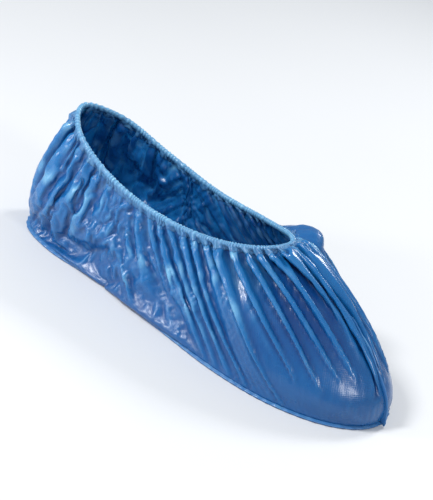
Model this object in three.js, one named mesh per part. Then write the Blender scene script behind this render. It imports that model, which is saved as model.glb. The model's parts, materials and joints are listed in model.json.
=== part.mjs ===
// Disposable shoe cover: a thin blue film overshoe, open as it is when a shoe fills it.
// A flat sole panel carries a gathered upper, and the upper's top edge runs inside a folded hem that holds the elastic.
// Millimetres, +Z up, +X towards the toe. The origin is on the floor under the middle of the cover.

import * as THREE from 'three';

// Film and elastic
const FILM = 1.0; // wall of the upper and of the hem
const SOLE_THICKNESS = 1.2;
const WELD_LIP = 1.6; // the sole panel's welded edge stands this far outside the upper's middle
const GAP = 0.3; // clearance between two pieces
const FACET_SLACK = 0.2; // extra clearance where two faceted curves run side by side
const ELASTIC_RADIUS = 1.0;
const ELASTIC_SIDES = 6;
const HEM_DEPTH = 5.0; // from the elastic down to the hem's lips

// Gathers
const FOLDS = 36; // round the whole opening
const COLUMNS_PER_FOLD = 5;
const COLUMNS = FOLDS * COLUMNS_PER_FOLD; // of points round the upper
const RIM_COLUMNS = COLUMNS / 2; // of points round the hem and the elastic
const FOLD_HEIGHT = 3.6; // from the wall's middle to a crest, where a fold is deepest
const SEAM_HEIGHT = 1.8; // the welded toe and heel seams stand this far out of the wall

// Shares of the wall's height. Folds and seams start from nothing at the sole and at the hem.
const ROWS = [0, 0.08, 0.2, 0.36, 0.52, 0.68, 0.82, 0.93, 1]; // where the upper has a row of points
const SOLE_RAMP = 0.08;
const HEM_RAMP = 0.12;

// One side of the sole's outline, from the middle of the toe to the middle of the heel.
const SOLE_OUTLINE = [
  { x: 300, y: 0 },
  { x: 296, y: 16 },
  { x: 280, y: 34 },
  { x: 248, y: 48 },
  { x: 206, y: 52 },
  { x: 150, y: 46 },
  { x: 95, y: 38 },
  { x: 42, y: 38 },
  { x: 11, y: 26 },
  { x: 0, y: 0 },
];

// One side of the elastic's line, from the throat to the back of the heel.
const RIM = [
  { x: 200, y: 0, z: 79 },
  { x: 191, y: 17, z: 76 },
  { x: 163, y: 30, z: 70 },
  { x: 118, y: 35, z: 67 },
  { x: 70, y: 34, z: 74 },
  { x: 32, y: 24, z: 86 },
  { x: 14, y: 0, z: 92 },
];

// How the wall leaves the sole and meets the rim. 'at' is the share of the way from the toe to the heel.
const WALL_SECTIONS = [
  { at: 0.0, lowOut: 11, lowUp: 27, highOut: 54, highDrop: 16 },
  { at: 0.14, lowOut: 11, lowUp: 28, highOut: 41, highDrop: 17 },
  { at: 0.3, lowOut: 10, lowUp: 29, highOut: 21, highDrop: 15 },
  { at: 0.55, lowOut: 10, lowUp: 27, highOut: 10, highDrop: 18 },
  { at: 0.8, lowOut: 11, lowUp: 26, highOut: 11, highDrop: 24 },
  { at: 1.0, lowOut: 11, lowUp: 26, highOut: 10, highDrop: 28 },
];

// How deep the folds are, and how far down the wall they reach before they fade out.
const FOLD_SECTIONS = [
  { at: 0.0, depth: 0.7, reach: 0.55 },
  { at: 0.2, depth: 1.0, reach: 0.72 },
  { at: 0.45, depth: 1.1, reach: 0.95 },
  { at: 0.8, depth: 1.1, reach: 0.85 },
  { at: 1.0, depth: 0.8, reach: 0.8 },
];

// Waves round the cover that keep the folds from being alike: 'lag' is in radians.
const FOLD_SHIFTS = [
  { waves: 3, size: 0.3, lag: 1 },
  { waves: 7, size: 0.22, lag: 2 },
];
const DEPTH_CHANGES = [{ waves: 11, size: 0.18, lag: 0.5 }];
const REACH_CHANGES = [{ waves: 13, size: 0.1, lag: 0 }];

// Loose film that stands out in a puff. 'turn' is the share of the way round from the toe, positive on the +Y side.
const PUFFS = [
  { turn: 0.078, rise: 0.9, out: 15, wide: 0.038, tall: 0.1 },
  { turn: -0.35, rise: 0.5, out: 4, wide: 0.06, tall: 0.22 },
  { turn: 0.3, rise: 0.55, out: 4, wide: 0.07, tall: 0.2 },
  { turn: -0.14, rise: 0.6, out: 3, wide: 0.05, tall: 0.2 },
];

const smooth = (t) => t * t * (3 - 2 * t);

// A column of a table at a given place, eased between its rows.
function readTable(table, column, at) {
  const next = Math.max(1, table.findIndex((row) => row.at >= at));
  const [a, b] = [table[next - 1], table[next]];
  return THREE.MathUtils.lerp(a[column], b[column], smooth((at - a.at) / (b.at - a.at)));
}

// A closed curve through one side's points and their mirror images.
function mirroredLoop(side) {
  const there = side.map(({ x, y, z = 0 }) => new THREE.Vector3(x, y, z));
  const back = side
    .slice(1, -1)
    .reverse()
    .map(({ x, y, z = 0 }) => new THREE.Vector3(x, -y, z));
  const loop = new THREE.CatmullRomCurve3([...there, ...back], true, 'centripetal');
  loop.arcLengthDivisions = 800;
  return loop;
}

const soleLoop = mirroredLoop(SOLE_OUTLINE);
const rimLoop = mirroredLoop(RIM);
const UP = new THREE.Vector3(0, 0, 1);
const wrap = (turn) => THREE.MathUtils.euclideanModulo(turn, 1);

// The curve that the wall follows at one place round the cover, from the sole's edge to the elastic.
const wallCurves = new Map();
function wallCurve(turn) {
  const key = wrap(turn).toFixed(6);
  if (wallCurves.has(key)) return wallCurves.get(key);
  const at = 1 - Math.abs(1 - 2 * wrap(turn));
  const read = (column) => readTable(WALL_SECTIONS, column, at);
  const foot = soleLoop.getPointAt(wrap(turn)).setZ(SOLE_THICKNESS + GAP);
  const top = rimLoop.getPointAt(wrap(turn));
  const away = soleLoop.getTangentAt(wrap(turn)).cross(UP).normalize();
  const outwards = foot.clone().sub(top).setZ(0).normalize();
  const curve = new THREE.CubicBezierCurve3(
    foot,
    foot.clone().addScaledVector(away, read('lowOut')).addScaledVector(UP, read('lowUp')),
    top.clone().addScaledVector(outwards, read('highOut')).addScaledVector(UP, -read('highDrop')),
    top,
  );
  wallCurves.set(key, curve);
  return curve;
}

// The share of a wall's curve that lies below the hem's lips.
const belowHem = (curve) => 1 - HEM_DEPTH / curve.getLength();

const sumOfWaves = (waves, turn) =>
  waves.reduce((sum, w) => sum + w.size * Math.sin(2 * Math.PI * w.waves * turn + w.lag), 0);

// The gathers: crests and valleys that are deepest just under the hem and fade out down the wall.
function gathers(turn, at, rise) {
  const depth = FOLD_HEIGHT * readTable(FOLD_SECTIONS, 'depth', at) * (1 + sumOfWaves(DEPTH_CHANGES, turn));
  const reach = readTable(FOLD_SECTIONS, 'reach', at) * (1 + sumOfWaves(REACH_CHANGES, turn));
  const fromHem = Math.min(1, (1 - rise) / reach);
  const crest = Math.cos(2 * Math.PI * (FOLDS * turn + sumOfWaves(FOLD_SHIFTS, turn)));
  return depth * (1 - fromHem * fromHem) * crest;
}

function puffs(turn, rise) {
  return PUFFS.reduce((sum, puff) => {
    const across = wrap(turn - puff.turn + 0.5) - 0.5;
    return sum + puff.out * Math.exp(-((across / puff.wide) ** 2) - ((rise - puff.rise) / puff.tall) ** 2);
  }, 0);
}

// The welded seam up the middle of the toe and of the heel, a ridge one column wide.
function seam(at) {
  const columnsAway = (Math.min(at, 1 - at) * COLUMNS) / 2;
  return SEAM_HEIGHT * Math.max(0, 1 - columnsAway);
}

// How far the film stands out of the plain wall.
function standOut(turn, rise) {
  const at = 1 - Math.abs(1 - 2 * wrap(turn));
  const fromSole = Math.min(1, rise / SOLE_RAMP);
  const fromHem = Math.min(1, (1 - rise) / HEM_RAMP);
  return (gathers(turn, at, rise) + seam(at)) * fromSole * fromHem + puffs(turn, rise) * smooth(fromHem);
}

// The plain wall at a place round the cover and a share of its height, with the direction out of it.
function plainWall(turn, share) {
  const step = 1 / COLUMNS;
  const point = wallCurve(turn).getPointAt(share);
  const along = wallCurve(turn + step).getPointAt(share).sub(wallCurve(turn - step).getPointAt(share));
  const up = wallCurve(turn).getTangentAt(share);
  return { point, up, out: along.cross(up).normalize() };
}

// The middle of the film at a row of the upper: rows up to 1 lie below the hem, and the last one is its top edge.
function filmMiddle(turn, rise) {
  const curve = wallCurve(turn);
  const topEdge = 1 - GAP / curve.getLength();
  const share = rise <= 1 ? rise * belowHem(curve) : topEdge - (ELASTIC_RADIUS + GAP) / curve.getLength();
  const { point, out } = plainWall(turn, share);
  return point.addScaledVector(out, rise <= 1 ? standOut(turn, rise) : 0);
}

// Normals of a grid of points that is closed round its first index.
function gridNormals(grid) {
  return grid.map((column, i) => {
    const next = grid[(i + 1) % grid.length];
    const last = grid[(i + grid.length - 1) % grid.length];
    return column.map((_, j) => {
      const up = column[Math.min(j + 1, column.length - 1)].clone().sub(column[Math.max(j - 1, 0)]);
      return next[j].clone().sub(last[j]).cross(up).normalize();
    });
  });
}

// One closed surface through closed sections that follow each other round a closed path.
function ringGeometry(sections) {
  const size = sections[0].length;
  const index = [];
  sections.forEach((_, i) => {
    const [here, next] = [i * size, ((i + 1) % sections.length) * size];
    for (let j = 0; j < size; j += 1) {
      const k = (j + 1) % size;
      index.push(here + j, next + j, next + k, here + j, next + k, here + k);
    }
  });
  const geometry = new THREE.BufferGeometry().setFromPoints(sections.flat());
  geometry.setIndex(index);
  geometry.computeVertexNormals();
  return geometry;
}

const turns = (count) => Array.from({ length: count }, (_, i) => i / count);

function makeUpper() {
  const rises = [...ROWS, 2];
  const middle = turns(COLUMNS).map((turn) => rises.map((rise) => filmMiddle(turn, rise)));
  const normals = gridNormals(middle);
  const face = (i, side) =>
    middle[i].map((p, j) => {
      const moved = p.clone().addScaledVector(normals[i][j], (side * FILM) / 2);
      return j === 0 ? moved.setZ(p.z) : moved;
    });
  return ringGeometry(middle.map((_, i) => [...face(i, 1), ...face(i, -1).reverse()]));
}

// The hem is a strip folded over the elastic; its two lips hold the upper's top edge between them.
const SLOT = FILM / 2 + GAP + FACET_SLACK;
const BORE = ELASTIC_RADIUS + GAP + FACET_SLACK;
const CROWN = BORE / 2; // half the width of the hem's flat top
const HEM_SECTION = [
  [SLOT + FILM, -HEM_DEPTH],
  [BORE + FILM, 0],
  [CROWN, BORE + FILM],
  [-CROWN, BORE + FILM],
  [-BORE - FILM, 0],
  [-SLOT - FILM, -HEM_DEPTH],
  [-SLOT, -HEM_DEPTH],
  [-BORE, 0],
  [0, BORE],
  [BORE, 0],
  [SLOT, -HEM_DEPTH],
];

const ELASTIC_SECTION = Array.from({ length: ELASTIC_SIDES }, (_, k) => {
  const angle = (2 * Math.PI * (k + 0.5)) / ELASTIC_SIDES;
  return [ELASTIC_RADIUS * Math.cos(angle), ELASTIC_RADIUS * Math.sin(angle)];
});

// A section of [out, up] pairs carried round the rim, upright to the wall.
function makeRimRing(section) {
  return ringGeometry(
    turns(RIM_COLUMNS).map((turn) => {
      const { point, up, out } = plainWall(turn, 1);
      return section.map(([o, u]) => point.clone().addScaledVector(out, o).addScaledVector(up, u));
    }),
  );
}

function makeSole() {
  const edge = turns(COLUMNS).map((turn) => {
    const away = soleLoop.getTangentAt(turn).cross(UP).normalize();
    return soleLoop.getPointAt(turn).addScaledVector(away, WELD_LIP);
  });
  const outline = new THREE.Shape(edge.map((p) => new THREE.Vector2(p.x, p.y)));
  return new THREE.ExtrudeGeometry(outline, { depth: SOLE_THICKNESS, bevelEnabled: false });
}

const FILM_BLUE = new THREE.MeshStandardMaterial({ color: 0x2a6db5, roughness: 0.38, metalness: 0, name: 'film' });
const SOLE_BLUE = new THREE.MeshStandardMaterial({ color: 0x285a9c, roughness: 0.5, metalness: 0, name: 'sole_film' });
const HEM_BLUE = new THREE.MeshStandardMaterial({ color: 0x4d94d6, roughness: 0.4, metalness: 0, name: 'hem_film' });
const ELASTIC_WHITE = new THREE.MeshStandardMaterial({ color: 0xdfe6ea, roughness: 0.7, metalness: 0, name: 'elastic' });

function piece(name, geometry, material) {
  const mesh = new THREE.Mesh(geometry, material);
  mesh.name = name;
  return mesh;
}

const shoeCover = new THREE.Group();
shoeCover.name = 'disposable_shoe_cover';
shoeCover.add(
  piece('sole_panel', makeSole(), SOLE_BLUE),
  piece('gathered_upper', makeUpper(), FILM_BLUE),
  piece('folded_hem', makeRimRing(HEM_SECTION), HEM_BLUE),
  piece('elastic_band', makeRimRing(ELASTIC_SECTION), ELASTIC_WHITE),
);

// The origin goes to the floor under the middle of the whole cover.
const extent = new THREE.Box3().setFromObject(shoeCover, true);
const middle = extent.getCenter(new THREE.Vector3());
shoeCover.children.forEach((mesh) => mesh.position.set(-middle.x, -middle.y, -extent.min.z));

export default shoeCover;
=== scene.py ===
"""Disposable shoe cover: its gathered film, folded hem, elastic, sole and welded seams."""

import json
import math
import random

import bmesh
import bpy
import numpy as np
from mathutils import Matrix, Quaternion, Vector

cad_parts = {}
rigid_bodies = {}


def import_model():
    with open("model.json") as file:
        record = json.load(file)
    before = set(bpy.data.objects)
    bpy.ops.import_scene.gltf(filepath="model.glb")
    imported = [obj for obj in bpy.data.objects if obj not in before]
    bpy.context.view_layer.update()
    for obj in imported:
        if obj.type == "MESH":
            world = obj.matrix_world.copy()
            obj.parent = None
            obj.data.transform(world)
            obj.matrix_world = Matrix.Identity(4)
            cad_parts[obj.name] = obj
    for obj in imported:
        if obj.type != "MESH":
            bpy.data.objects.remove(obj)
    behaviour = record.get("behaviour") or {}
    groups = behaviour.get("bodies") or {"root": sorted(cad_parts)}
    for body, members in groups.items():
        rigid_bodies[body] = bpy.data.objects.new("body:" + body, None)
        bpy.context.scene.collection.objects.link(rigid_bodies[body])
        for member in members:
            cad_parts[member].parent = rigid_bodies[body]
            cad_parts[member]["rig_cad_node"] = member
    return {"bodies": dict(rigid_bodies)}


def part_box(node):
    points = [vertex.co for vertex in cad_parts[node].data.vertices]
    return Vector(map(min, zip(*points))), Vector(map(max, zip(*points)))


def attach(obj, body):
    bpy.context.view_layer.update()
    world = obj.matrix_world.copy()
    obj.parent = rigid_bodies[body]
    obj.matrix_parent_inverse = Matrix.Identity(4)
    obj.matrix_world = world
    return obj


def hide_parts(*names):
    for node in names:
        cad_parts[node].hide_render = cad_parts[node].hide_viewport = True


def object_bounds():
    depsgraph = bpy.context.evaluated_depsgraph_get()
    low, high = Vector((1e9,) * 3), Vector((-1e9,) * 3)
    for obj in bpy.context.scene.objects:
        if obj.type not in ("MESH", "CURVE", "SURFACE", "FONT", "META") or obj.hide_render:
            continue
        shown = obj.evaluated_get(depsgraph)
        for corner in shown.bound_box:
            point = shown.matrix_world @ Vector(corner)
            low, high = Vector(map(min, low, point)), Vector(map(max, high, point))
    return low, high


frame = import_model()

bl_info = {
    "name": "Disposable Shoe Cover",
    "version": (1, 0, 0),
    "blender": (4, 5, 0),
    "location": "3D View > Sidebar > Shoe Cover",
    "description": "Makes a gathered film overshoe with its hem, elastic, sole and welded seams",
    "category": "Add Mesh",
}

MM = 0.001
UP = np.array([0.0, 0.0, 1.0])
LEVEL = np.array([1.0, 1.0, 0.0])
BODY = next(iter(frame["bodies"]))
FRAME_BOX = [list(corner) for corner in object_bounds()]

# ---------------------------------------------------------------- pattern of the cover
# One side of the sole's outline, from the toe's middle to the heel's, in pattern millimetres.
SOLE_SIDE = (
    (300, 0), (296, 16), (280, 34), (248, 48), (206, 52),
    (150, 46), (95, 38), (42, 38), (11, 26), (0, 0),
)
# One side of the elastic's line, from the throat to the back of the heel.
RIM_SIDE = (
    (200, 0, 79), (191, 17, 76), (163, 30, 70), (118, 35, 67),
    (70, 34, 74), (32, 24, 86), (14, 0, 92),
)
# How the plain wall leaves the sole and meets the rim. 'at' runs from 0 at the toe to 1 at the heel.
WALL = {
    "at": (0.0, 0.14, 0.3, 0.55, 0.8, 1.0),
    "low_out": (11, 11, 10, 10, 11, 11),
    "low_up": (27, 28, 29, 27, 26, 26),
    "high_out": (54, 41, 21, 10, 11, 10),
    "high_drop": (16, 17, 15, 18, 24, 28),
}
# Loose film that stands out in a puff: turn, rise, millimetres out, width round the cover, height.
PUFFS = (
    (0.078, 0.9, 15, 0.038, 0.1),
    (-0.35, 0.5, 4, 0.06, 0.22),
    (0.3, 0.55, 4, 0.07, 0.2),
    (-0.14, 0.6, 3, 0.05, 0.2),
)
HEM_RAMP = 0.12  # the share of the height in which a puff ends at the hem
CURVE_STEPS = 60  # points between two corners of a curve before they are spaced evenly
WALL_STEPS = 200  # points on each wall curve before it is spaced evenly
PATTERN_LENGTH = 300.0
WELD_LIP = 1.6  # of the sole's panel, outside the outline
THROAT_DRAW = 0.06  # the columns lean towards the throat as they rise, by up to this share of the way round

# The film's cut height as a share of the plain wall's. Loose film has more than 1.
CUT_HEIGHT = {"at": (0.0, 0.35, 0.55, 1.0), "share": (1.0, 1.01, 1.04, 1.025)}
# Where the cut is higher still: share of the way round from the toe, extra height, width.
LOOSE_SPOTS = ((0.115, 0.18, 0.045), (0.64, 0.05, 0.045), (0.38, 0.05, 0.05))
# The last that the film is gathered round, inside the plain wall by so many millimetres.
LAST_INSET = {"at": (0.0, 0.25, 0.45, 0.8, 1.0), "inset": (3, 4, 11, 11, 5)}
LAST_RIM_INSET = 4.0
LAST_LOBE = (0.075, 0.93, 17, 0.035, 0.08)  # a puff of the last alone, under the film beside the throat
LAST_CROWN = ((0.93, 8), (0.8, 14), (0.5, 18), (0.02, 20))  # share of the rim's size, millimetres above it

# ---------------------------------------------------------------- simulation
SIM_COLUMNS, SIM_ROWS = 336, 35
SIM_SCALE = 10.0  # thin film is gathered at ten times its size
GATHER_FRAMES, SETTLE_FRAMES = 32, 20
LIFT = 0.3  # the rim is lifted by this share of the film's height on its way in
SEED = 5
NARROWEST_FOLD, WIDEST_FOLD = 3, 6  # simulated columns in half a fold
FOLD_NARROWING = 2  # the widest folds at the heel have so many columns less
FOLD_STAND = 0.7  # how upright a fold's sides stand at the rim
CRUMPLE_WAVES = 60
CRUMPLE_DEPTH = 0.9  # millimetres
CLOTH_GRAVITY = 0.05  # the share of its weight that the film feels
FILM_CLOTH = {
    "quality": 8,
    "mass": 0.15,
    "air_damping": 1.5,
    "tension_stiffness": 40,
    "compression_stiffness": 40,
    "shear_stiffness": 20,
    "bending_stiffness": 0.6,
    "tension_damping": 5,
    "compression_damping": 5,
    "shear_damping": 5,
    "bending_damping": 0.5,
}
FILM_TOUCH = {
    "distance_min": 0.006,
    "collision_quality": 4,
    "use_self_collision": True,
    "self_distance_min": 0.008,
    "self_friction": 2,
}
LAST_TOUCH = {
    "thickness_outer": 0.01,
    "thickness_inner": 0.3,
    "use_culling": True,
    "use_normal": True,
    "cloth_friction": 0,
    "damping": 0.2,
}

# ---------------------------------------------------------------- folds, pleats and creases
# Tables that run from 0 at the toe to 1 at the heel: the places, and the values there.
CALM_TOE = (0, 0.2, 0.4, 1), (0.1, 0.3, 1, 1)  # share of the crumples' depth
CREASE_SHARE = (0, 0.15, 0.35, 0.6, 1), (0.04, 0.12, 0.5, 1, 1)  # of the small creases' height
GATHER_REACH = (0, 0.15, 0.4, 1), (0.25, 0.45, 0.95, 0.9)  # how far down the film is treated as gathered: creased, paler by painted highlight, and with more painted glints
LOBE_ROUNDS = 3  # passes that smooth the loose lobe
LOBE_FOOT, LOBE_RAMP = 0.6, 0.2  # share of the height from which it is smoothed, and in which that sets in
RIM_TIGHTENING = 9.0  # millimetres below the elastic in which the folds draw in
TIGHTEST = 0.3  # the share of its depth that a fold keeps at the elastic
LOWEST_FOLD = 0.0004  # no fold of the film hangs nearer to the floor
CREST_BLUR, SLOPE_BLUR = 9, 5  # columns to each side, for a crest's height and for its direction
CREST_DEPTH = 2.4  # millimetres from the deepest fold's painted shade to the highest crest's painted highlight
GATHER_FADE = 0.4  # the share of the height in which the gathered film's creases, painted highlight and painted glints fade
CREASE = 0.3  # millimetres, the height of the small creases
CREASE_WAVES = 7
RIM_CREASES = 0.9  # the least share of that height that the creases have at the hem
RIM_CREASE_REACH = 16.0  # millimetres below the hem in which that share fades
FILM_PLEAT = 0.3  # millimetres, the height of the hem's pleats in the film
PLEAT_REACH = 7.0  # millimetres down the film in which they fade
# Waves that make the hem's pleats unlike in width and in lean: count round the cover, size, lag.
PLEAT_SHIFTS = ((7, 2.6, 1.0), (23, 2.4, 2.0), (41, 1.3, 0.5))
PLEAT_LEANS = ((4, 1.1, 1.0), (11, 0.8, 2.0))

# ---------------------------------------------------------------- hem, sole and seams
# Lengths are in metres where no unit is named.
FILM_TRIM = 0.0013  # the film ends this far below the elastic's middle
# The hem's lip, from its edge up: share of its depth, millimetres off the film.
HEM_LIP = ((1.0, 0.4), (0.8, 0.45), (0.6, 0.6), (0.42, 0.95))
LIP_PLEAT = 0.14  # millimetres that a pleat stands out at the lip
CASING_ANGLES = np.radians(np.arange(-30, 211, 20))  # round the elastic, from the outer lip to the inner
HEM_TALL = 1.25  # the casing's height over its width
HEM_FILM = 0.0003  # thickness
SOLE_LIFT = 0.0003  # from the floor to the middle of the sole's film
SOLE_FILM = 0.0003  # thickness
SOLE_SPINE = 0.035  # the sole's middle line ends this far inside its edge
SOLE_PUCKERS = 83  # round its edge
SOLE_MERGE = 0.00005  # points of the sole nearer than this are one
WELD_RIPPLES = 96  # round the cover
WELD_RIPPLE_OUT, WELD_RIPPLE_UP = 0.0003, 0.25 * MM
WELD_INSIDE = 0.0004  # the weld's lip stands out of the outline by so much less than its width
# The weld's cross-section: millimetres out of the outline, millimetres up.
WELD_SECTION = (
    (-1.2, 1.5), (-0.6, 2.1), (0.1, 1.9), (0.6, 1.35),
    (1.0, 1.2), (1.0, 0.75), (0.0, 0.7), (-1.0, 0.9),
)
SEAM_FILM = (0.003, 0.12)  # metres of film across and along a seam, for its embossing
SEAM_FACES = 4  # across a seam
SEAM_ROOT = 0.0004  # the seam starts this far inside the film
SEAM_CRIMP, SEAM_CRIMP_STEP = 0.00018, 1.9  # sideways waves, and radians from row to row
SEAM_THICKNESS = 0.0005
SEAM_EARS = {"toe_seam": 0.0026, "heel_seam": 0.0006}  # spare film that stands out at a seam's foot
EAR_REACH = 0.035  # the share of the seam's length in which an ear fades

# ---------------------------------------------------------------- finishes and stage
# The small pieces' finishes: roughness, width of the diamonds and depth of the creases in metres.
PLAIN_FINISHES = {
    "hem film": (0.32, 0.0016, 0.0003),
    "sole film": (0.38, 0.0016, 0.0002),
    "weld film": (0.34, 0.0012, 0.0002),
    "seam film": (0.34, 0.0012, 0.0002),
}
# How far a piece without folds is coloured as a crest, and as gathered film, for its painted highlight and
# glints; the weld and the seams get the most.
EVEN_FOLDS = {"sole film": (0.35, 0.35), "weld film": (0.8, 0.6), "seam film": (0.85, 0.8)}
GLINT_WHITE = (0.30, 0.66, 0.90, 1.0)  # the pale blue-white that the painted glints on creased crests fade towards
WHITE_BRAID = (0.76, 0.79, 0.82, 1.0)
FLOOR_SIZE = 6.0  # metres from the middle to each edge
SKY_COLOUR, SKY_STRENGTH = (0.86, 0.92, 1.0, 1.0), 0.42
LIGHTS_AIM = Vector((0, 0, 0.04))
# Each light's name, place, size and watts.
LIGHTS = (
    ("key", (-0.50, -0.65, 1.00), 0.25, 10.0),
    ("low", (-0.85, -1.00, 0.42), 0.22, 6.0),
    ("side", (0.85, -0.25, 0.55), 0.20, 2.5),
    ("back", (0.05, 0.85, 0.75), 0.25, 5.0),
)


# ---------------------------------------------------------------- places in the frame
def box_of(node):
    """The lowest and the highest corner of a node of the frame."""
    low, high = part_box(node)
    return np.array(low), np.array(high)


SOLE_LOW, SOLE_HIGH = box_of("sole_panel")
FILM_FOOT = box_of("gathered_upper")[0][2]
SOLE_MIDDLE = (SOLE_LOW + SOLE_HIGH) / 2
GRADE = (SOLE_HIGH[0] - SOLE_LOW[0] - 2 * WELD_LIP * MM) / PATTERN_LENGTH  # metres to a pattern millimetre
PATTERN_ORIGIN = np.array([SOLE_MIDDLE[0] - PATTERN_LENGTH / 2 * GRADE, SOLE_MIDDLE[1], 0.0])


# ---------------------------------------------------------------- curves and grids
# A grid is an array of rows by columns by 3. Columns run round the cover from the toe by the +Y side.
def smooth(share):
    share = np.clip(share, 0.0, 1.0)
    return share * share * (3 - 2 * share)


def unit(vectors):
    return vectors / np.maximum(np.linalg.norm(vectors, axis=-1, keepdims=True), 1e-9)


def turns(columns):
    return np.arange(columns) / columns


def rises(rows):
    """0 at the foot and 1 at the top, a column of numbers."""
    return np.linspace(0, 1, rows)[:, None]


def from_toe(columns):
    """0 at the toe and 1 at the heel, on both sides."""
    return 1 - np.abs(1 - 2 * turns(columns))


def spot(turn, middle, width):
    """A bump of height 1 round one place on the way round."""
    away = (turn - middle + 0.5) % 1 - 0.5
    return np.exp(-((away / width) ** 2))


def read_table(table, column, at):
    """A column of a table, eased between its rows."""
    places, values = np.array(table["at"]), np.array(table[column], float)
    after = np.clip(np.searchsorted(places, at), 1, len(places) - 1)
    share = smooth((at - places[after - 1]) / (places[after] - places[after - 1]))
    return values[after - 1] + (values[after] - values[after - 1]) * share


def mirrored(side):
    """One side's points and their mirror images, placed in the frame."""
    there = np.array([(*corner, 0)[:3] for corner in side], float)
    loop = np.vstack([there, (there * (1, -1, 1))[-2:0:-1]])
    return loop * GRADE + PATTERN_ORIGIN


def closed_curve(corners, count):
    """Evenly spaced points of the closed centripetal curve through the corners."""
    share = np.linspace(0, 1, CURVE_STEPS, endpoint=False)[:, None]
    pieces = []
    for index, start in enumerate(corners):
        before, end, beyond = (corners[(index + step) % len(corners)] for step in (-1, 1, 2))
        first, middle, last = (
            math.sqrt(np.linalg.norm(b - a)) for a, b in ((before, start), (start, end), (end, beyond))
        )
        leave = ((start - before) / first - (end - before) / (first + middle)) * middle + end - start
        arrive = ((beyond - end) / last - (beyond - start) / (middle + last)) * middle + end - start
        pieces.append(
            start
            + leave * share
            + (3 * (end - start) - 2 * leave - arrive) * share**2
            + (2 * (start - end) + leave + arrive) * share**3
        )
    fine = np.vstack([*pieces, corners[:1]])
    arc = np.r_[0, np.cumsum(np.linalg.norm(np.diff(fine, axis=0), axis=1))]
    places = np.linspace(0, arc[-1], count, endpoint=False)
    return np.column_stack([np.interp(places, arc, fine[:, axis]) for axis in range(3)])


def steps_round(loop):
    return np.linalg.norm(np.roll(loop, -1, 0) - loop, axis=1)


def level_normals(loop):
    """Level directions out of a closed loop."""
    return unit(np.cross(np.roll(loop, -1, 0) - np.roll(loop, 1, 0), UP))


def arcs_up(grid):
    """The distance up each column at each row."""
    steps = np.linalg.norm(np.diff(grid, axis=0), axis=2)
    return np.vstack([np.zeros(grid.shape[1]), np.cumsum(steps, axis=0)])


def read_columns(grid, places):
    """The points of each column at the given distances up it, an array of rows by columns."""
    arc = arcs_up(grid)
    read = np.empty((*places.shape, 3))
    for column in range(grid.shape[1]):
        for axis in range(3):
            read[:, column, axis] = np.interp(places[:, column], arc[:, column], grid[:, column, axis])
    return read


def grid_normals(grid):
    """Directions out of a ring grid."""
    along = np.roll(grid, -1, 1) - np.roll(grid, 1, 1)
    return unit(np.cross(along, np.gradient(grid, axis=0)))


def doubled(grid, axis):
    """Twice the points along an axis, the new ones on a cubic through their four neighbours."""
    ways = {0: {"mode": "reflect", "reflect_type": "odd"}, 1: {"mode": "wrap"}}[axis]
    widths = [(0, 0)] * grid.ndim
    widths[axis] = (1, 2)
    padded = np.moveaxis(np.pad(grid, widths, **ways), axis, 0)
    between = (9 * (padded[1:-2] + padded[2:-1]) - padded[:-3] - padded[3:]) / 16
    both = np.stack([padded[1:-2], between], axis=1).reshape(-1, *padded.shape[1:])
    if axis == 0:
        both = both[:-1]
    return np.moveaxis(both, 0, axis)


def blurred(grid, reach):
    """Each point's mean with its neighbours round the ring."""
    weights = 1 + np.cos(np.pi * np.arange(-reach, reach + 1) / (reach + 1))
    weights /= weights.sum()
    return sum(w * np.roll(grid, shift - reach, 1) for shift, w in enumerate(weights))


def sheet_area(grid):
    """The area of a ring grid."""
    beside = np.roll(grid, -1, 1)
    one = np.cross(beside[:-1] - grid[:-1], beside[1:] - grid[:-1])
    other = np.cross(beside[1:] - grid[:-1], grid[1:] - grid[:-1])
    return (np.linalg.norm(one, axis=2) + np.linalg.norm(other, axis=2)).sum() / 2


def waves(turn, table):
    """A sum of waves round the cover."""
    return sum(size * np.sin(math.tau * count * turn + lag) for count, size, lag in table)


# ---------------------------------------------------------------- the plain wall
def drawn_turns(columns, rows):
    """How far round the cover each point of a column lies, as the columns lean towards the throat."""
    turn, rise = turns(columns), rises(rows)
    return turn - THROAT_DRAW * np.sin(math.tau * turn) * rise


def plain_wall(columns, rows):
    """The wall without its gathers, evenly spaced up each column."""
    at = from_toe(columns)
    foot = closed_curve(mirrored(SOLE_SIDE), columns)
    foot[:, 2] = FILM_FOOT
    top = closed_curve(mirrored(RIM_SIDE), columns)
    outwards = unit((foot - top) * LEVEL)

    def read(name):
        return read_table(WALL, name, at)[:, None] * GRADE

    low = foot + level_normals(foot) * read("low_out") + UP * read("low_up")
    high = top + outwards * read("high_out") - UP * read("high_drop")
    t = np.linspace(0, 1, WALL_STEPS)[:, None, None]
    curve = foot * (1 - t) ** 3 + 3 * low * t * (1 - t) ** 2 + 3 * high * t**2 * (1 - t) + top * t**3
    upright = read_columns(curve, rises(rows) * arcs_up(curve)[-1])
    places = drawn_turns(columns, rows) * columns
    before = np.floor(places).astype(int)
    share = (places - before)[..., None]
    row = np.arange(rows)[:, None]
    return upright[row, before % columns] * (1 - share) + upright[row, (before + 1) % columns] * share


def puffed_wall(columns, rows, puffs=PUFFS):
    """The plain wall with its puffs."""
    wall = plain_wall(columns, rows)
    turn, rise = drawn_turns(columns, rows), rises(rows)
    out = sum(
        height * spot(turn, middle, wide) * np.exp(-(((rise - up) / tall) ** 2))
        for middle, up, height, wide, tall in puffs
    )
    out = out * smooth((1 - rise) / HEM_RAMP)
    return wall + grid_normals(wall) * out[..., None] * MM


# ---------------------------------------------------------------- meshes
def flat_sheet(across, up, width, height, corner):
    """A sheet one unit wide and high, with each corner's place on the film's flat cut."""
    bm = bmesh.new()
    bmesh.ops.create_grid(bm, x_segments=across, y_segments=up, size=0.5)
    cut = bm.loops.layers.uv.new("cut")
    for face in bm.faces:
        for loop in face.loops:
            x, y, _ = loop.vert.co
            loop[cut].uv = ((x + corner) * width, (y + corner) * height)
    return bm


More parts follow.
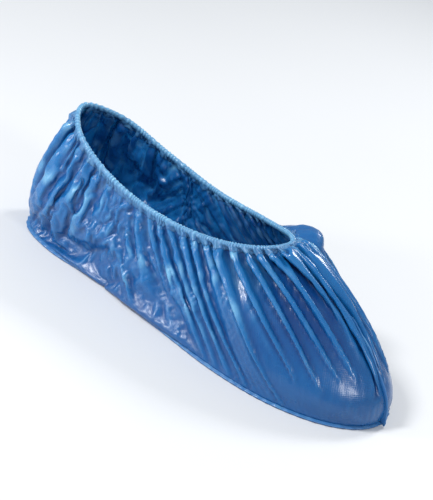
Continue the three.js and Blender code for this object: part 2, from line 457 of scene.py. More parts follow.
def ring_mesh(name, grid, tube=False):
    """A film ring: a flat sheet, rolled up and welded along its ends. A tube's last row meets its first."""
    rows, columns = grid.shape[:2]
    width = float(steps_round(grid[-1]).sum())
    height = float(arcs_up(grid)[-1].mean())
    bm = flat_sheet(columns, rows if tube else rows - 1, width, height, 0.5)
    bm.verts.ensure_lookup_table()
    places = {(v.index // (columns + 1), v.index % (columns + 1)): v for v in bm.verts}
    doubles = {}
    for (row, column), vert in places.items():
        vert.co = grid[row % rows, column % columns]
        if row == rows or column == columns:
            doubles[vert] = places[row % rows, column % columns]
    bmesh.ops.weld_verts(bm, targetmap=doubles)
    return finished_mesh(name, bm)


def finished_mesh(name, bm):
    for face in bm.faces:
        face.smooth = True
    mesh = bpy.data.meshes.new(name)
    bm.to_mesh(mesh)
    bm.free()
    piece = bpy.data.objects.new(name, mesh)
    bpy.context.scene.collection.objects.link(piece)
    return piece


def ring_grid(piece):
    """The grid of a ring mesh, read back from its vertices."""
    points = np.empty(len(piece.data.vertices) * 3, np.float32)
    piece.data.vertices.foreach_get("co", points)
    return points.astype(float).reshape(piece["rows"], piece["columns"], 3)


def store(piece, name, values):
    """A number for each vertex, which the piece's material reads."""
    layer = piece.data.attributes.new(name, "FLOAT", "POINT")
    layer.data.foreach_set("value", np.clip(values, 0, 1).astype(np.float32).ravel())


def store_evenly(piece, crest, gather):
    """One crest and one gather for all of a piece."""
    for name, value in (("crest", crest), ("gather", gather)):
        store(piece, name, np.full(len(piece.data.vertices), value))


def thickened(piece, thickness):
    wall = piece.modifiers.new("film thickness", "SOLIDIFY")
    wall.thickness = thickness
    wall.offset = 0
    wall.use_rim = True
    return piece


def on_cover(piece, finish, slot, *replaced):
    piece.data.materials.append(finish)
    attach(piece, BODY)
    if replaced:
        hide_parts(*replaced)


def apply_settings(owner, settings):
    for name, value in settings.items():
        setattr(owner, name, value)


# ---------------------------------------------------------------- gathering the film
def film_cut(fullness):
    """The film as it is cut: a sleeve that flares from the sole to its longer top edge."""
    wall = plain_wall(SIM_COLUMNS, SIM_ROWS)
    turn, at = turns(SIM_COLUMNS), from_toe(SIM_COLUMNS)
    foot = wall[0]
    flare = (fullness * steps_round(wall[-1]).sum() - steps_round(foot).sum()) / math.tau
    share = read_table(CUT_HEIGHT, "share", at)
    for middle, extra, width in LOOSE_SPOTS:
        share = share + extra * spot(turn, middle, width)
    height = arcs_up(wall)[-1] * share
    top = level_normals(foot) * flare + UP * np.sqrt(height**2 - flare**2)[:, None]
    return foot + top * np.linspace(0, 1, SIM_ROWS)[:, None, None]


def zigzag(columns):
    """The fold line of the rim in steps: up and down by turns, in folds of unlike widths."""
    draw = random.Random(SEED)
    widths = []
    at = from_toe(columns)
    while 2 * sum(widths) < columns - 2 * WIDEST_FOLD:
        narrower = FOLD_NARROWING * at[2 * sum(widths)]
        widths.append(draw.randint(NARROWEST_FOLD, WIDEST_FOLD - round(narrower)))
    widths.append((columns - 2 * sum(widths)) // 2)
    line = []
    for width in widths:
        up = [step - width / 2 for step in range(width)]
        line += up + [-step for step in up]
    return np.array((line + [line[-1]] * columns)[:columns])


def crumples(turn, rise):
    """Shallow random waves that the film keeps from being packed flat."""
    draw = random.Random(SEED)
    field = sum(
        np.sin(math.tau * (draw.randint(14, 60) * turn + draw.uniform(-5, 5) * rise + draw.random()))
        for _ in range(CRUMPLE_WAVES)
    )
    return field / math.sqrt(CRUMPLE_WAVES / 2)


def last_mesh(wall):
    """The hidden form that the film is gathered round."""
    at = from_toe(SIM_COLUMNS)
    rise = rises(SIM_ROWS) ** 3
    inset = read_table(LAST_INSET, "inset", at) * (1 - rise) + LAST_RIM_INSET * rise
    body = puffed_wall(SIM_COLUMNS, SIM_ROWS, (*PUFFS, LAST_LOBE))
    body = body - grid_normals(wall) * inset[..., None] * MM
    rim = body[-1]
    middle = rim.mean(0)
    crown = [middle + (rim - middle) * (share, share, 1) + UP * up * MM for share, up in LAST_CROWN]
    last = ring_mesh("last", np.concatenate([body, np.array(crown)])[:, ::2] * SIM_SCALE)
    last.modifiers.new("last", "COLLISION")
    apply_settings(last.collision, LAST_TOUCH)
    return last


def key_shape(sleeve, name, grid):
    key = sleeve.shape_key_add(name=name)
    key.data.foreach_set("co", (grid * SIM_SCALE).astype(np.float32).ravel())
    return key


def gather_keys(sleeve, cut, wall, line):
    """Moves the sleeve's edges from the cut to the sole and the gathered rim, by way of a lifted rim."""
    side = np.sqrt(np.maximum(steps_round(cut[-1]) ** 2 - steps_round(wall[-1]) ** 2, 0))
    side = blurred(side[None], WIDEST_FOLD)[0]
    outwards = unit(grid_normals(wall)[-1] * LEVEL)
    gathered = cut.copy()
    gathered[-1] = wall[-1] + outwards * (line * side * FOLD_STAND)[:, None]
    lifted = cut.copy()
    height = arcs_up(cut)[-1]
    lifted[-1] = (cut[-1] + gathered[-1]) / 2 + UP * (height * LIFT)[:, None]
    sleeve.shape_key_add(name="cut")
    keys = key_shape(sleeve, "gathered", gathered), key_shape(sleeve, "lifted", lifted)
    for step in range(GATHER_FRAMES):
        share = step / (GATHER_FRAMES - 1)
        for key, value in zip(keys, (share * share, 2 * share * (1 - share))):
            key.value = value
            key.keyframe_insert("value", frame=step + 1)


def film_cloth(sleeve):
    """Thin slippery film, held along both edges."""
    edges = sleeve.vertex_groups.new(name="edges")
    top = (SIM_ROWS - 1) * SIM_COLUMNS
    edges.add([*range(SIM_COLUMNS), *range(top, top + SIM_COLUMNS)], 1.0, "REPLACE")
    cloth = sleeve.modifiers.new("film", "CLOTH")
    cloth.settings.vertex_group_mass = "edges"
    apply_settings(cloth.settings, FILM_CLOTH)
    cloth.settings.effector_weights.gravity = CLOTH_GRAVITY
    apply_settings(cloth.collision_settings, FILM_TOUCH)
    cloth.point_cache.frame_start, cloth.point_cache.frame_end = 1, GATHER_FRAMES + SETTLE_FRAMES


def gathered_film(cut, line):
    """The film after it has been gathered round the last."""
    wall = plain_wall(SIM_COLUMNS, SIM_ROWS)
    rise = rises(SIM_ROWS)
    calm = np.interp(from_toe(SIM_COLUMNS), *CALM_TOE)
    field = crumples(turns(SIM_COLUMNS), rise)
    depth = CRUMPLE_DEPTH * MM * field * np.sqrt(np.sin(np.pi * rise).clip(0)) * calm
    last = last_mesh(wall)
    sleeve = ring_mesh("sleeve", (cut + level_normals(wall[0]) * depth[..., None]) * SIM_SCALE)
    gather_keys(sleeve, cut, wall, line)
    film_cloth(sleeve)
    scene = bpy.context.scene
    first, end = scene.frame_current, GATHER_FRAMES + SETTLE_FRAMES
    scene.frame_end = end
    for step in range(1, end + 1):
        scene.frame_set(step)
    evaluated = sleeve.evaluated_get(bpy.context.evaluated_depsgraph_get())
    points = np.empty(SIM_ROWS * SIM_COLUMNS * 3, np.float32)
    evaluated.data.vertices.foreach_get("co", points)
    for piece in (sleeve, last):
        bpy.data.objects.remove(piece)
    scene.frame_set(first)
    return points.astype(float).reshape(SIM_ROWS, SIM_COLUMNS, 3) / SIM_SCALE


# ---------------------------------------------------------------- finishing the film
def rounded_lobe(film):
    """Rounds the loose film beside the throat."""
    rows, columns = film.shape[:2]
    middle, _, width = LOOSE_SPOTS[0]
    rise = rises(rows)
    share = spot(turns(columns), middle, width) * smooth((rise - LOBE_FOOT) / LOBE_RAMP)
    soft = film
    for _ in range(LOBE_ROUNDS):
        soft = blurred(soft, 3)
        below = np.concatenate([soft[:1], soft[:-1]])
        above = np.concatenate([soft[1:], soft[-1:]])
        soft = (below + 2 * soft + above) / 4
    return film + (soft - film) * share[..., None]


def pleats(columns, count, lean=0.0):
    """Small pleats of unlike widths and depths round the hem, from -1 to 1."""
    turn = turns(columns)
    crest = 0.5 + 0.5 * np.cos(math.tau * count * turn + waves(turn, PLEAT_SHIFTS) + lean)
    depth = 0.7 + 0.3 * np.sin(math.tau * 31 * turn + 3 * np.sin(math.tau * 5 * turn))
    return depth * (2 * crest**1.5 - 1)


def crease_field(turn, rise):
    """Flat facets between sharp creases, as in crumpled film, about 0."""
    draw = random.Random(SEED + 1)
    field = 0
    for _ in range(CREASE_WAVES):
        count, up, lag = draw.randint(30, 95), draw.uniform(-9, 9), draw.random()
        bend = draw.randint(3, 9) * turn + draw.uniform(-1.5, 1.5) * rise + lag
        bend = 0.5 * np.sin(math.tau * bend)
        field = field + 4 * np.abs((count * turn + up * rise + lag + bend) % 1 - 0.5) - 1
    return field


def creased_film(film, below, count):
    """Adds what is finer than the gathers: the hem's pleats, and small sharp creases."""
    rows, columns = film.shape[:2]
    turn, rise = turns(columns), rises(rows)
    near_hem = np.exp(-below / (PLEAT_REACH * MM))
    patches = np.sin(math.tau * (9 * turn + 2 * rise)) * np.sin(math.tau * (5 * turn - 3 * rise))
    share = np.interp(from_toe(columns), *CREASE_SHARE)
    share = np.maximum(share, RIM_CREASES * np.exp(-below / (RIM_CREASE_REACH * MM)))
    creases = crease_field(turn, rise) * smooth(0.6 + 0.5 * patches) * share * np.sqrt(rise)
    depth = FILM_PLEAT * pleats(columns, count) * near_hem + CREASE * creases
    return film + grid_normals(film) * (depth * MM)[..., None]


def finished_film(film, pleat_count):
    """The gathered film at twice the points each way, drawn in at the rim, pleated and creased."""
    film = doubled(doubled(rounded_lobe(film), 0), 1)
    wall = doubled(doubled(puffed_wall(SIM_COLUMNS, SIM_ROWS), 0), 1)
    below = arcs_up(wall)[-1] - arcs_up(wall)
    hold = TIGHTEST + (1 - TIGHTEST) * smooth(below / (RIM_TIGHTENING * MM))
    film = (wall + (film - wall) * hold[..., None])[:-1]
    film = creased_film(film, below[:-1], pleat_count)
    film[..., 2] = np.maximum(film[..., 2], LOWEST_FOLD)
    return film


def store_folds(piece, film):
    """Stores what the film's painted shade, highlights and glints follow: its crests, and how near it is to
    the gathers.
    """
    folds = ((film - blurred(film, CREST_BLUR)) * grid_normals(blurred(film, SLOPE_BLUR))).sum(axis=2)
    store(piece, "crest", 0.5 + folds / (CREST_DEPTH * MM))
    rise = rises(film.shape[0])
    reach = np.interp(from_toe(film.shape[1]), *GATHER_REACH)
    store(piece, "gather", smooth((rise - 1 + reach) / GATHER_FADE))


# ---------------------------------------------------------------- shapes of the hem, the sole and the seams
def hem_grid(film, sizes):
    """The hem's film from its outer lip over the elastic to its inner lip, and its pleats' height."""
    columns = film.shape[1]
    *_, below_rim, rim = plain_wall(columns, SIM_ROWS)
    length = arcs_up(film)[-1]
    along = unit(np.roll(rim, -1, 0) - np.roll(rim, 1, 0))
    out = unit(np.cross(along, rim - below_rim))
    up = np.cross(out, along)
    lean = waves(turns(columns), PLEAT_LEANS)
    rows, heights = [], []

    def add(points, pleat):
        rows.append(points)
        heights.append(pleat)

    def lip(side, depths):
        """The hem's edge hugs the film, and stands off it towards the elastic."""
        for depth, away in depths:
            pleat = pleats(columns, sizes.pleats, lean * side * (1 + depth))
            below = np.maximum(depth * sizes.depth * (1 + 0.1 * pleat) - FILM_TRIM, 0)
            on_film = read_columns(film, (length - below)[None])[0]
            add(on_film + out * (side * (away + LIP_PLEAT * pleat) * MM)[:, None], pleat)

    lip(1, HEM_LIP)
    for angle in CASING_ANGLES:
        pleat = pleats(columns, sizes.pleats, lean * math.cos(angle))
        way = out * math.cos(angle) + up * (HEM_TALL * math.sin(angle))
        add(rim + way * (sizes.radius + sizes.pleat_depth * pleat)[:, None], pleat)
    lip(-1, HEM_LIP[::-1])
    return np.array(rows), np.array(heights)


def sole_grid(height, columns=SIM_COLUMNS, rings=18):
    """The sole's film, in rings from its welded edge in to its middle line."""
    edge = closed_curve(mirrored(SOLE_SIDE), columns)
    edge = edge + level_normals(edge) * WELD_LIP * MM
    spine = edge.copy()
    spine[:, 0] = np.clip(edge[:, 0], edge[:, 0].min() + SOLE_SPINE, edge[:, 0].max() - SOLE_SPINE)
    spine[:, 1] = SOLE_MIDDLE[1]
    share = np.linspace(0, 1, rings)[:, None, None]
    grid = edge + (spine - edge) * share
    inwards = share[..., 0]
    turn = turns(columns)
    pucker = 0.5 + 0.5 * np.sin(math.tau * (SOLE_PUCKERS * turn + 0.3 * np.sin(math.tau * 9 * turn)))
    fade = np.exp(-(inwards * 3.2)) * smooth(inwards * 12) * (1 - inwards)
    ripple = 0.5 + 0.5 * np.sin(grid[..., 0] * 140 + 2 * np.sin(grid[..., 1] * 90))
    grid[..., 2] = SOLE_LIFT + height * (pucker * fade + 0.35 * ripple * smooth(inwards * 4))
    return grid


def close_middle(sole):
    """Merges the points of the innermost ring, which meet on the sole's middle line."""
    bm = bmesh.new()
    bm.from_mesh(sole.data)
    bmesh.ops.remove_doubles(bm, verts=bm.verts, dist=SOLE_MERGE)
    bmesh.ops.recalc_face_normals(bm, faces=bm.faces)
    bm.to_mesh(sole.data)
    bm.free()


def weld_grid(weld_width, columns=2 * SIM_COLUMNS):
    """A flat lip with a raised bead along the film, rippled where the seal has drawn it in."""
    edge = closed_curve(mirrored(SOLE_SIDE), columns)
    out = level_normals(edge)
    turn = turns(columns)
    ripple = np.sin(math.tau * (WELD_RIPPLES * turn + 0.4 * np.sin(math.tau * 7 * turn)))
    rows = []
    for reach, height in WELD_SECTION:
        width = reach * MM if reach < 1 else weld_width - WELD_INSIDE + WELD_RIPPLE_OUT * ripple
        lift = WELD_RIPPLE_UP * ripple if reach >= 0.6 else 0
        away = out * np.broadcast_to(width, columns)[:, None]
        rows.append(edge + away + UP * (height * MM + lift * np.ones(columns))[:, None])
    return np.array(rows)[::-1]


def seam_heights(count, height, ear):
    """How far a seam stands out along its length: most in an ear at its foot, least under the hem."""
    rise = np.linspace(0, 1, count)
    heights = height * (0.9 + 0.1 * np.sin(40 * rise)) + ear * np.exp(-((rise / EAR_REACH) ** 2))
    return heights * (1 - 0.8 * smooth((rise - 0.93) / 0.07))


def seam_strip(name, path, out, side, height):
    """Two films welded into a fin: a strip that stands out of the path."""
    steps = len(path) - 1
    bm = flat_sheet(SEAM_FACES, steps, *SEAM_FILM, 0)
    for vert in bm.verts:
        row = round((vert.co.y + 0.5) * steps)
        reach = vert.co.x + 0.5
        crimp = SEAM_CRIMP * math.sin(row * SEAM_CRIMP_STEP) * reach
        vert.co = path[row] + out[row] * (height[row] * reach - SEAM_ROOT * (1 - reach)) + side * crimp
    strip = finished_mesh(name, bm)
    # Coloured as a high crest: paler by painted highlight.
    store_evenly(strip, *EVEN_FOLDS["seam film"])
    return thickened(strip, SEAM_THICKNESS)


# ---------------------------------------------------------------- materials
class Value:
    """A socket of a material's nodes that takes part in Python arithmetic."""

    def __init__(self, finish, socket):
        self.finish = finish
        self.socket = socket

    def _math(self, operation, *terms):
        return self.finish.node("Math", {"operation": operation}, dict(enumerate(terms)))

    def __add__(self, other):
        return self._math("ADD", self, other)

    __radd__ = __add__

    def __sub__(self, other):
        return self._math("SUBTRACT", self, other)

    def __mul__(self, other):
        return self._math("MULTIPLY", self, other)

    def sine(self):
        return self._math("SINE", self)

    def clamped(self):
        """Kept between 0 and 1."""
        return self._math("MAXIMUM", self._math("MINIMUM", self, 1.0), 0.0)


class Finish:
    """A procedural material, built round one surface shader."""

    def __init__(self, name, **constants):
        self.material = bpy.data.materials.new(name)
        self.material.use_nodes = True
        self.tree = self.material.node_tree
        self.tree.nodes.clear()
        self.shader = self.tree.nodes.new("ShaderNodeBsdfPrincipled")
        output = self.tree.nodes.new("ShaderNodeOutputMaterial")
        self.tree.links.new(self.shader.outputs[0], output.inputs["Surface"])
        for socket, value in constants.items():
            self.shader.inputs[socket.replace("_", " ")].default_value = value

    def put(self, socket, value):
        if isinstance(value, Value):
            self.tree.links.new(value.socket, socket)
        else:
            socket.default_value = value

    def node(self, kind, settings=None, sockets=None, output=0):
        """Adds a node: its settings first, then the values or links of its sockets."""
        made = self.tree.nodes.new("ShaderNode" + kind)
        apply_settings(made, settings or {})
        for name, value in (sockets or {}).items():
            self.put(made.inputs[name], value)
        return Value(self, made.outputs[output])

    def surface(self, **links):
        for socket, value in links.items():
            self.put(self.shader.inputs[socket.replace("_", " ")], value)
        return self.material

    # The patterns that this cover's finishes share
    def cut_place(self):
        """A place on the film's flat cut, in metres."""
        return self.node("UVMap", {"uv_map": "cut"})

    def object_place(self):
        return self.node("TexCoord", output="Object")

    def split(self, vector):
        return [self.node("SeparateXYZ", {}, {0: vector}, output=axis) for axis in range(3)]

    def stretched(self, vector, scale):
        return self.node("Mapping", {}, {"Vector": vector, "Scale": scale})

    def noise(self, vector, scale, detail=2.0, roughness=0.5, **settings):
        sockets = {"Vector": vector, "Scale": scale, "Detail": detail, "Roughness": roughness}
        return self.node("TexNoise", settings, sockets)

    def mixed(self, share, first, second):
        sockets = {0: share, 6: first, 7: second}
        return self.node("Mix", {"data_type": "RGBA"}, sockets, output=2)

    def attribute(self, name):
        return self.node("Attribute", {"attribute_name": name}, output="Fac")

    def bump(self, height, distance, strength=1.0, normal=None):
        sockets = {"Height": height, "Distance": distance, "Strength": strength}
        if normal is not None:
            sockets["Normal"] = normal
        return self.node("Bump", {}, sockets)


def embossing(finish, place, pitch):
    """Small diamonds pressed into the film."""
    across, up, _ = finish.split(place)
    rate = math.tau / pitch
    one = ((across + up) * rate).sine()
    other = ((across - up) * rate).sine()
    return one * other


def film_finish(name, deep, pale, roughness, pitch, crease_depth):
    """Embossed film: deep blue in its folds as painted shade, paler on a crest and near the gathers as
    painted highlight, with painted glints of pale blue-white; creased near the gathers.
    """
    finish = Finish(
        name,
        IOR=1.5,
        Coat_Weight=0.15,
        Coat_Roughness=0.1,
        Subsurface_Weight=0.12,
        Subsurface_Radius=(0.25, 0.6, 1.0),
        Subsurface_Scale=0.003,
    )
    place = finish.cut_place()
    crest = finish.attribute("crest")
    gather = finish.attribute("gather")
    along = finish.stretched(place, (1.0, 0.45, 1.0))
    creases = finish.noise(along, 110.0, detail=3.0, roughness=0.6, noise_type="RIDGED_MULTIFRACTAL")
    clouds = finish.noise(finish.object_place(), 26.0, detail=3.0, roughness=0.55)
    # Painted shade and highlight: deep blue in the fold valleys, paler on the crests and near the gathers;
    # the clouds add random tone.
    painted_shading_and_tone = (crest * 0.9 + clouds * 0.45 + gather * 0.2 - 0.3).clamped()
    # Painted glints: broken patches that fade towards a pale blue-white, following the crests and the
    # creases, most near the gathers.
    glint_colour = tuple(0.5 * channel + 0.5 * white for channel, white in zip(pale, GLINT_WHITE))
    stretched = ((crest - 0.5) * 3.4 * (0.15 + gather) * (creases * 1.6 + clouds * 0.8 - 0.45)).clamped()
    colour = finish.mixed(stretched, finish.mixed(painted_shading_and_tone, deep, pale), glint_colour)
    diamonds = embossing(finish, place, pitch)
    pressed = finish.bump(diamonds, distance=0.00004, strength=0.6)
    creased = finish.bump(creases * gather, distance=crease_depth, strength=0.8, normal=pressed)
    fine = finish.noise(place, 420.0, roughness=0.6)
    crinkled = finish.bump(fine, distance=0.0002, strength=0.5, normal=creased)
    rub = finish.noise(finish.object_place(), 90.0)
    return finish.surface(
        Base_Color=colour,
        Roughness=roughness + rub * 0.12 - crest * 0.05,
        Normal=crinkled,
    )


def plain_finish(name, deep, pale):
    """The film of a small piece."""
    return film_finish(name, deep, pale, *PLAIN_FINISHES[name])


def rubber_finish(name, colour, roughness):
    """White braided elastic: fine threads that slant round it."""
    finish = Finish(name, IOR=1.45)
    x, y, z = finish.split(finish.object_place())
    threads = ((x + y + z) * 5200.0).sine() * ((x - y - z) * 5200.0).sine()
    soil = finish.noise(finish.object_place(), 160.0, detail=3.0)
    darker = tuple(channel * 0.72 for channel in colour[:3]) + (1.0,)
    return finish.surface(
        Base_Color=finish.mixed((threads * 0.25 + soil * 0.5).clamped(), colour, darker),
        Roughness=roughness + soil * 0.1,
        Normal=finish.bump(threads, distance=0.0001),
    )


def floor_finish(name, colour):
    """A pale matt floor with the faintest clouds."""
    finish = Finish(name, IOR=1.45)
    tone = finish.noise(finish.object_place(), 3.0)
    paler = tuple(min(1.0, channel * 1.03) for channel in colour[:3]) + (1.0,)
    return finish.surface(Base_Color=finish.mixed(tone, colour, paler), Roughness=0.45 + tone * 0.1)


# ---------------------------------------------------------------- sizes and colours
def length_property(name, description, default):
    return bpy.props.FloatProperty(
        name=name, description=description, default=default, min=0, unit="LENGTH"
    )


def angle_property(name, description, degrees):
    return bpy.props.FloatProperty(
        name=name, description=description, default=math.radians(degrees), subtype="ANGLE"
    )


def colour_property(name, description, default):
    return bpy.props.FloatVectorProperty(
        name=name, description=description, default=default, size=4, min=0, max=1, subtype="COLOR"
    )


def share_property(name, description, default, high=1.0):
    return bpy.props.FloatProperty(
        name=name, description=description, default=default, min=0, max=high, subtype="FACTOR"
    )


class FilmSizes(bpy.types.PropertyGroup):
    thickness: length_property("Film", "Thickness of the film as it is modelled", 0.00035)
    fullness: share_property("Fullness", "The top edge's cut length over the elastic's length", 2.05, 3.0)
    emboss_pitch: length_property("Emboss pitch", "Width of the pressed diamonds", 0.0016)
    crease_depth: length_property("Crease depth", "Depth of the fine creases near the gathers", 0.0007)
    # Deep blue is painted shade in the folds, pale blue is painted highlight on the crests.
    deep: colour_property("Deep blue", "Colour of the film in its folds", (0.002, 0.050, 0.205, 1))
    pale: colour_property("Pale blue", "Colour of the film on its crests", (0.010, 0.150, 0.41, 1))
    roughness: share_property("Roughness", "Roughness of the film", 0.25)


class HemSizes(bpy.types.PropertyGroup):
    radius: length_property("Casing", "Radius of the hem round the elastic", 0.0016)
    depth: length_property("Depth", "From the elastic down to the hem's lips", 0.005)
    pleats: bpy.props.IntProperty(
        name="Pleats", description="Small pleats round the hem", default=180, min=3
    )
    pleat_depth: length_property("Pleat depth", "How far a pleat stands out", 0.00025)
    # Pale blue is where the elastic shows through the film, and painted highlight on the casing's top and
    # its pleats' crests.
    deep: colour_property("Deep blue", "Colour of the hem's lips", (0.012, 0.10, 0.30, 1))
    pale: colour_property("Pale blue", "Colour where the elastic shows through", (0.15, 0.40, 0.66, 1))


class SoleSizes(bpy.types.PropertyGroup):
    weld_width: length_property("Weld", "Width of the welded edge round the sole", 0.0024)
    pucker: length_property("Pucker", "Height of the sole's puckers", 0.0005)
    seam_height: length_property("Seam", "How far the toe and heel seams stand out", 0.0022)
    deep: colour_property("Deep blue", "Colour of the sole", (0.016, 0.075, 0.25, 1))
    # Pale blue is painted highlight on the welded edge and on the seams.
    pale: colour_property("Pale blue", "Colour of the sole's welded edge", (0.045, 0.20, 0.47, 1))


class StageSizes(bpy.types.PropertyGroup):
    azimuth: angle_property("Azimuth", "Camera's way round the cover", 29.6)
    elevation: angle_property("Elevation", "Camera's height angle", 26.8)
    roll: angle_property("Roll", "Camera's turn about its own axis", 16.9)
    distance: length_property("Distance", "From the camera to the cover", 1.0)
    lens: bpy.props.FloatProperty(name="Lens", description="Focal length", default=124.0, unit="CAMERA")
    floor: colour_property("Floor", "Colour of the floor", (0.77, 0.78, 0.79, 1))
    brightness: share_property("Brightness", "Strength of the lights", 1.0, 10.0)


# ---------------------------------------------------------------- operators
class SHOECOVER_OT_film_upper(bpy.types.Operator):
    """Gathers the film upper round a last"""

    bl_idname = "shoe_cover.film_upper"
    bl_label = "Gathered Film Upper"

    def execute(self, context):
        sizes = context.scene.cover_film
        cut = film_cut(sizes.fullness)
        line = zigzag(SIM_COLUMNS)
        film = gathered_film(cut, line)
        film = finished_film(film, context.scene.cover_hem.pleats)
        piece = ring_mesh("film_upper", film)
        piece["rows"], piece["columns"] = film.shape[:2]
        piece["cut_area"] = float(sheet_area(cut))
        piece["cut_width"] = float(steps_round(cut[-1]).sum())
        piece["cut_height"] = float(arcs_up(cut)[-1].max())
        store_folds(piece, film)
        thickened(piece, sizes.thickness)
        finish = film_finish(
            "blue film", sizes.deep, sizes.pale, sizes.roughness, sizes.emboss_pitch, sizes.crease_depth
        )
        on_cover(piece, finish, "film", "gathered_upper")
        return {"FINISHED"}


class SHOECOVER_OT_hem_casing(bpy.types.Operator):
    """Folds the pleated hem over the elastic"""

    bl_idname = "shoe_cover.hem_casing"
    bl_label = "Folded Hem"

    def execute(self, context):
        sizes = context.scene.cover_hem
        grid, pleat = hem_grid(doubled(ring_grid(bpy.data.objects["film_upper"]), 1), sizes)
        piece = ring_mesh("hem_casing", grid)
        # Paler over the elastic, which shows through, and, as painted highlight, paler on the casing's top
        # and on its pleats' crests.
        over = np.sin(np.linspace(0, math.pi, len(grid)))[:, None]
        store(piece, "crest", 0.75 * over**2 + 0.25 * pleat)
        store(piece, "gather", np.ones(grid.shape[:2]))
        thickened(piece, HEM_FILM)
        on_cover(piece, plain_finish("hem film", sizes.deep, sizes.pale), "hem_film", "folded_hem")
        return {"FINISHED"}


class SHOECOVER_OT_elastic(bpy.types.Operator):
    """Gives the elastic its white braid"""

    bl_idname = "shoe_cover.elastic"
    bl_label = "Elastic"

    def execute(self, context):
        elastic = next(o for o in bpy.data.objects if o.get("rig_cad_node") == "elastic_band")
        elastic.data.materials.clear()
        elastic.data.materials.append(rubber_finish("white elastic", WHITE_BRAID, roughness=0.6))
        return {"FINISHED"}


class SHOECOVER_OT_sole(bpy.types.Operator):
    """Lays the sole's film and the weld round its edge"""

    bl_idname = "shoe_cover.sole"
    bl_label = "Sole and Weld"

    def execute(self, context):
        sizes = context.scene.cover_sole
        sole = ring_mesh("sole_film", sole_grid(sizes.pucker))
        close_middle(sole)
        thickened(sole, SOLE_FILM)
        weld = ring_mesh("sole_weld", weld_grid(sizes.weld_width), tube=True)
        store_evenly(sole, *EVEN_FOLDS["sole film"])
        # The weld is coloured as a high crest: paler by painted highlight.
        store_evenly(weld, *EVEN_FOLDS["weld film"])
        on_cover(sole, plain_finish("sole film", sizes.deep, sizes.deep), "sole_film", "sole_panel")
        on_cover(weld, plain_finish("weld film", sizes.deep, sizes.pale), "sole_film")
        return {"FINISHED"}


class SHOECOVER_OT_end_seams(bpy.types.Operator):
    """Stands the welded seams up the toe and the heel"""

    bl_idname = "shoe_cover.end_seams"
    bl_label = "Toe and Heel Seams"

    def execute(self, context):
        sizes = context.scene.cover_sole
        film = blurred(ring_grid(bpy.data.objects["film_upper"]), 2)
        side = np.array([0.0, 1.0, 0.0])
        finish = plain_finish("seam film", sizes.deep, sizes.pale)
        for name, column, way in (("toe_seam", 0, 1), ("heel_seam", film.shape[1] // 2, -1)):
            path = film[:-3, column]
            out = np.cross(side, unit(np.gradient(path, axis=0))) * way
            height = seam_heights(len(path), sizes.seam_height, SEAM_EARS[name])
            strip = seam_strip(name, path, out, side, height)
            on_cover(strip, finish, "film")
        return {"FINISHED"}


class SHOECOVER_OT_declare_sheets(bpy.types.Operator):
    """Does nothing."""

    bl_idname = "shoe_cover.declare_sheets"
    bl_label = "Flat Sizes"

    def execute(self, context):
        return {"FINISHED"}


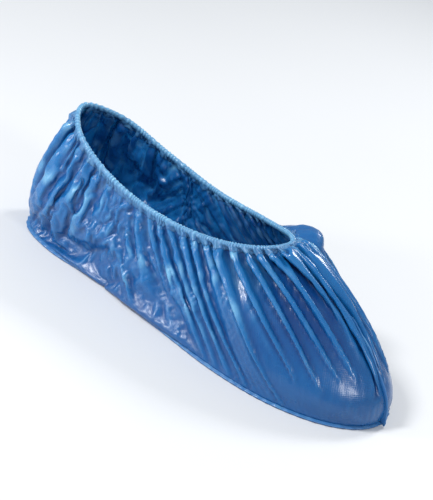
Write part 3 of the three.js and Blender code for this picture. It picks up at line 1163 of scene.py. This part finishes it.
class SHOECOVER_OT_stage(bpy.types.Operator):
    """Sets the floor, the lights and the camera"""

    bl_idname = "shoe_cover.stage"
    bl_label = "Stage"

    def execute(self, context):
        sizes = context.scene.cover_stage
        context.scene.view_settings.view_transform = "Standard"
        self.add_floor(sizes)
        self.add_sky(context.scene)
        self.add_lights(context.scene, sizes)
        self.add_camera(context.scene, sizes)
        return {"FINISHED"}

    def add_floor(self, sizes):
        bm = bmesh.new()
        bmesh.ops.create_grid(bm, x_segments=1, y_segments=1, size=FLOOR_SIZE)
        floor = finished_mesh("floor", bm)
        floor.data.materials.append(floor_finish("pale floor", sizes.floor))

    def add_sky(self, scene):
        world = bpy.data.worlds.new("studio")
        world.use_nodes = True
        sky = world.node_tree.nodes["Background"]
        sky.inputs["Color"].default_value = SKY_COLOUR
        sky.inputs["Strength"].default_value = SKY_STRENGTH
        scene.world = world

    def add_lights(self, scene, sizes):
        for name, place, size, watts in LIGHTS:
            light = bpy.data.lights.new(name, "AREA")
            light.energy, light.size = watts * sizes.brightness, size
            lamp = bpy.data.objects.new(name, light)
            lamp.location = place
            lamp.rotation_euler = (LIGHTS_AIM - Vector(place)).to_track_quat("-Z", "Y").to_euler()
            scene.collection.objects.link(lamp)

    def add_camera(self, scene, sizes):
        low, high = (Vector(corner) for corner in FRAME_BOX)
        a, e = sizes.azimuth, sizes.elevation
        back = Vector((math.sin(a) * math.cos(e), -math.cos(a) * math.cos(e), math.sin(e)))
        data = bpy.data.cameras.new("camera")
        data.lens = sizes.lens
        data.sensor_fit = "HORIZONTAL"
        camera = bpy.data.objects.new("camera", data)
        camera.location = (low + high) / 2 + back * sizes.distance
        turn = (-back).to_track_quat("-Z", "Y") @ Quaternion((0, 0, 1), sizes.roll)
        camera.rotation_euler = turn.to_euler()
        scene.collection.objects.link(camera)
        scene.camera = camera


STEPS = (
    SHOECOVER_OT_stage,
    SHOECOVER_OT_film_upper,
    SHOECOVER_OT_hem_casing,
    SHOECOVER_OT_elastic,
    SHOECOVER_OT_sole,
    SHOECOVER_OT_end_seams,
    SHOECOVER_OT_declare_sheets,
)
SIZES = {
    "cover_film": FilmSizes,
    "cover_hem": HemSizes,
    "cover_sole": SoleSizes,
    "cover_stage": StageSizes,
}


class SHOECOVER_PT_panel(bpy.types.Panel):
    """Lists the cover's sizes, and a button for each step"""

    bl_idname = "SHOECOVER_PT_panel"
    bl_label = "Shoe Cover"
    bl_space_type = "VIEW_3D"
    bl_region_type = "UI"
    bl_category = "Shoe Cover"

    def draw(self, context):
        for name, group in SIZES.items():
            box = self.layout.box()
            for field in group.__annotations__:
                box.prop(getattr(context.scene, name), field)
        for step in STEPS:
            self.layout.operator(step.bl_idname)


def register():
    for made in (*SIZES.values(), *STEPS, SHOECOVER_PT_panel):
        bpy.utils.register_class(made)
    for name, group in SIZES.items():
        setattr(bpy.types.Scene, name, bpy.props.PointerProperty(type=group))


def unregister():
    for name in SIZES:
        delattr(bpy.types.Scene, name)
    for made in reversed((*SIZES.values(), *STEPS, SHOECOVER_PT_panel)):
        bpy.utils.unregister_class(made)


def main():
    register()
    for step in STEPS:
        group, name = step.bl_idname.split(".")
        getattr(getattr(bpy.ops, group), name)()


if __name__ == "__main__":
    main()
